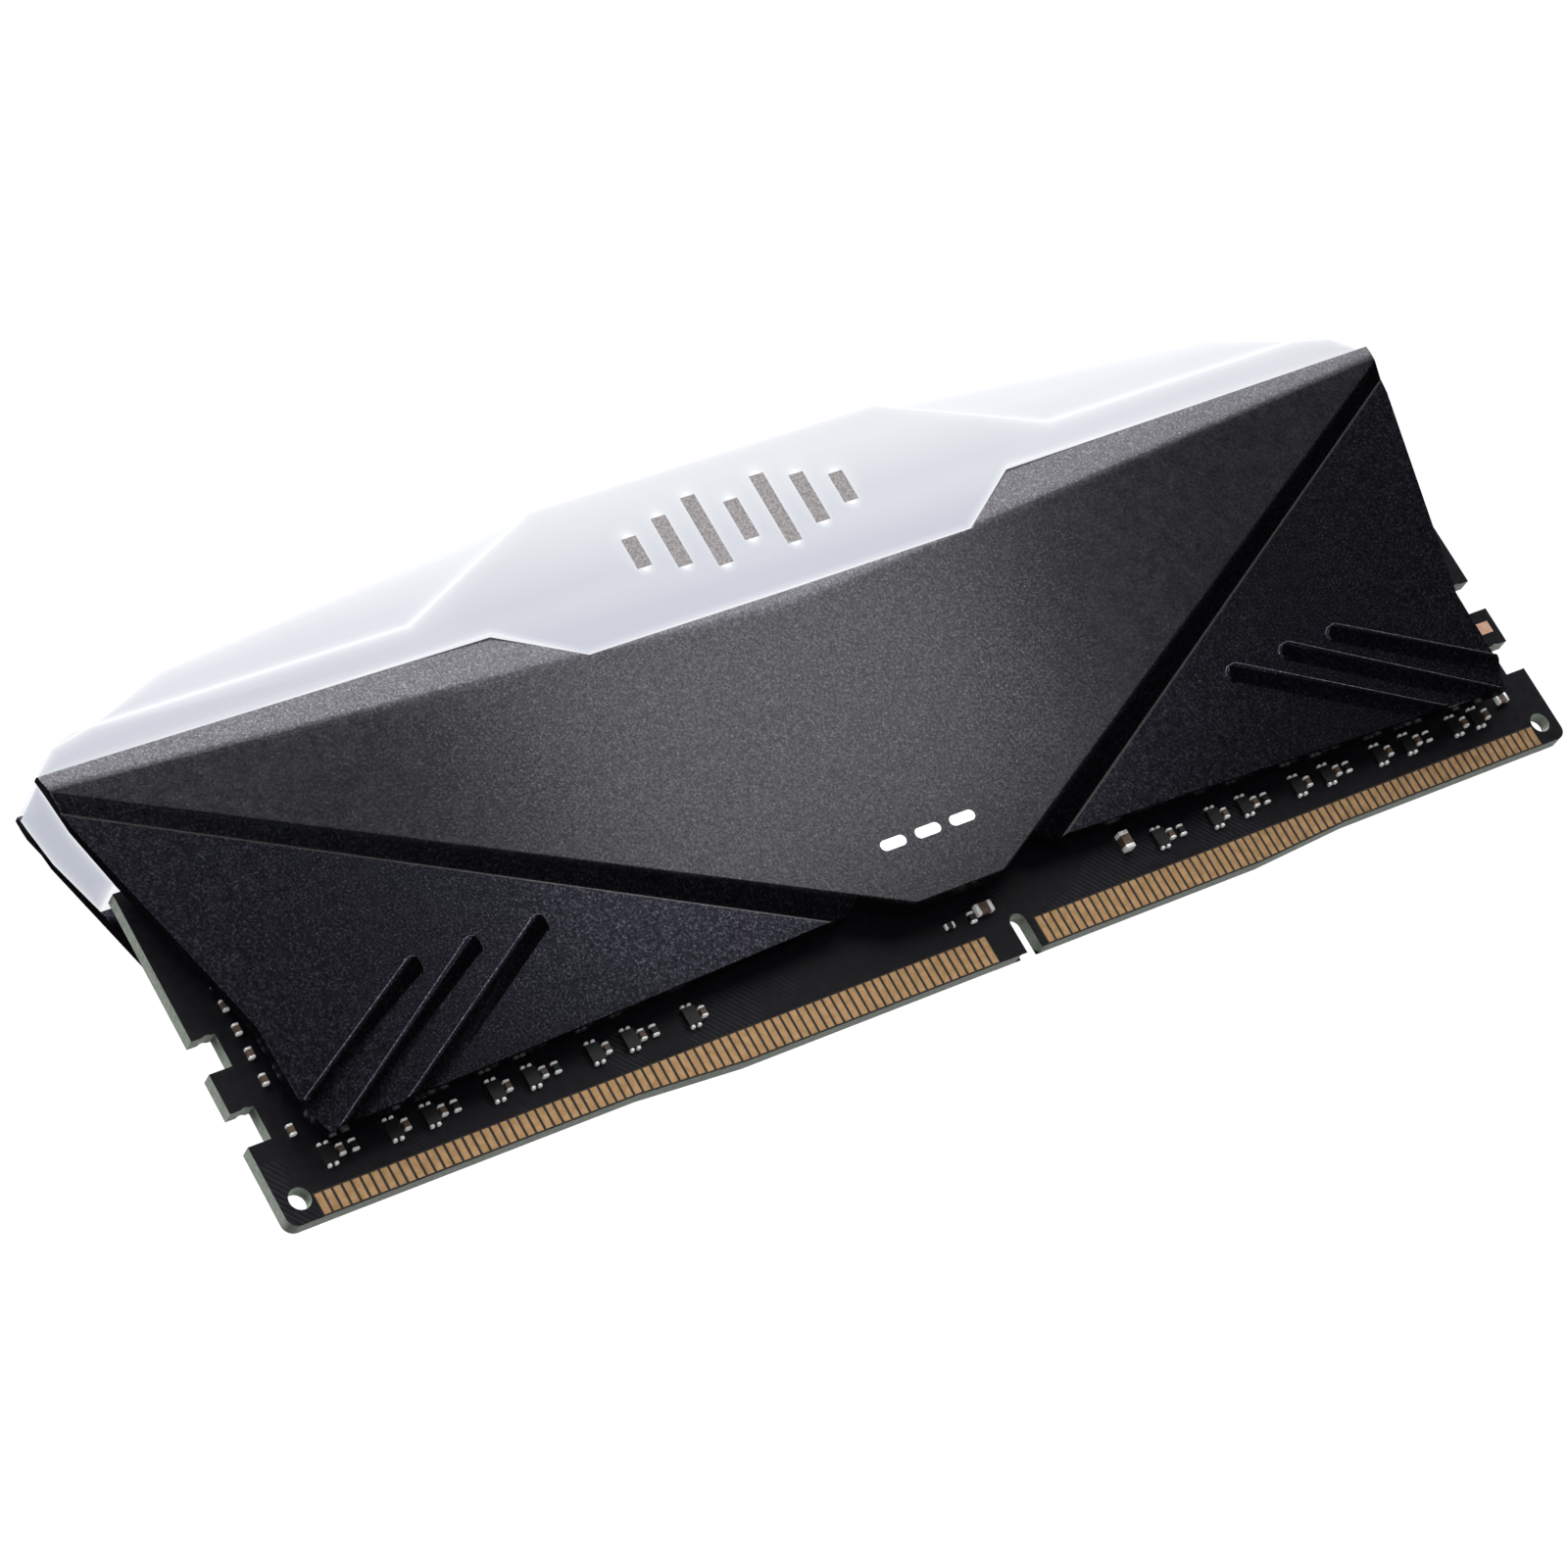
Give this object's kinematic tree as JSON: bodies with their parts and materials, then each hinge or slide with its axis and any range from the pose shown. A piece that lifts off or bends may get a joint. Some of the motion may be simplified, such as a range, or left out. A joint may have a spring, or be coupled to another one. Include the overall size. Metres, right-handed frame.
{
  "type": "memory module",
  "caption": "Desktop memory module: contact-edge board with chips between two faceted dark heat spreaders, topped by an opal light bar.",
  "frame": {"origin": "middle of the board's thickness and length at the lowest part of the contact edge, where the module meets its socket", "axes": "+X along the module, +Z from the contact edge up to the light bar, -Y out of the front heat spreader"},
  "size_m": [0.1382, 0.008, 0.0505],
  "materials": {
    "board_laminate": "woven glass laminate, raw edge",
    "solder_mask": "black solder mask",
    "gold": "thin gold over nickel and copper",
    "chip_resin": "moulded epoxy",
    "thermal_pad": "soft filled silicone",
    "lamp": "clear resin lamp body",
    "resistor_body": "black glazed",
    "capacitor_body": "brown ceramic",
    "tin": "tinned ends with solder",
    "spreader_coat": "fine speckled dark powder coat on formed aluminium",
    "opal_plastic": "opal light-diffusing plastic",
    "emblem_print": "speckled grey print",
    "badge_print": "white print"
  },
  "bodies": {
    "root": {"circuit_board": "board_laminate", "solder_mask_front": "solder_mask", "solder_mask_rear": "solder_mask", "contacts_front_left": "gold", "contacts_front_right": "gold", "contacts_rear_left": "gold", "contacts_rear_right": "gold", "memory_chip_front_1": "chip_resin", "memory_chip_front_2": "chip_resin", "memory_chip_front_3": "chip_resin", "memory_chip_front_4": "chip_resin", "memory_chip_front_5": "chip_resin", "memory_chip_front_6": "chip_resin", "memory_chip_front_7": "chip_resin", "memory_chip_front_8": "chip_resin", "memory_chip_rear_1": "chip_resin", "memory_chip_rear_2": "chip_resin", "memory_chip_rear_3": "chip_resin", "memory_chip_rear_4": "chip_resin", "memory_chip_rear_5": "chip_resin", "memory_chip_rear_6": "chip_resin", "memory_chip_rear_7": "chip_resin", "memory_chip_rear_8": "chip_resin", "ground_pad": "gold", "settings_chip": "chip_resin", "light_controller": "chip_resin", "thermal_pad_front": "thermal_pad", "thermal_pad_rear": "thermal_pad", "lamp_1": "lamp", "lamp_2": "lamp", "lamp_3": "lamp", "lamp_4": "lamp", "lamp_5": "lamp", "lamp_6": "lamp", "lamp_7": "lamp", "lamp_8": "lamp", "lamp_9": "lamp", "lamp_10": "lamp", "resistor_arrays_front": "resistor_body", "resistors_front": "resistor_body", "capacitors_front": "capacitor_body", "tall_capacitor": "capacitor_body", "key_capacitor": "capacitor_body", "end_capacitor": "capacitor_body", "key_bead": "resistor_body", "key_bead_ends": "tin", "resistor_array_ends_front": "tin", "resistor_ends_front": "tin", "capacitor_ends_front": "tin", "tall_capacitor_ends": "tin", "key_capacitor_ends": "tin", "end_capacitor_ends": "tin", "heat_spreader_front": "spreader_coat", "heat_spreader_rear": "spreader_coat", "light_bar": "opal_plastic", "emblem_front": "emblem_print", "emblem_rear": "emblem_print", "badge_front": "badge_print", "badge_rear": "badge_print"}
  },
  "joints": []
}
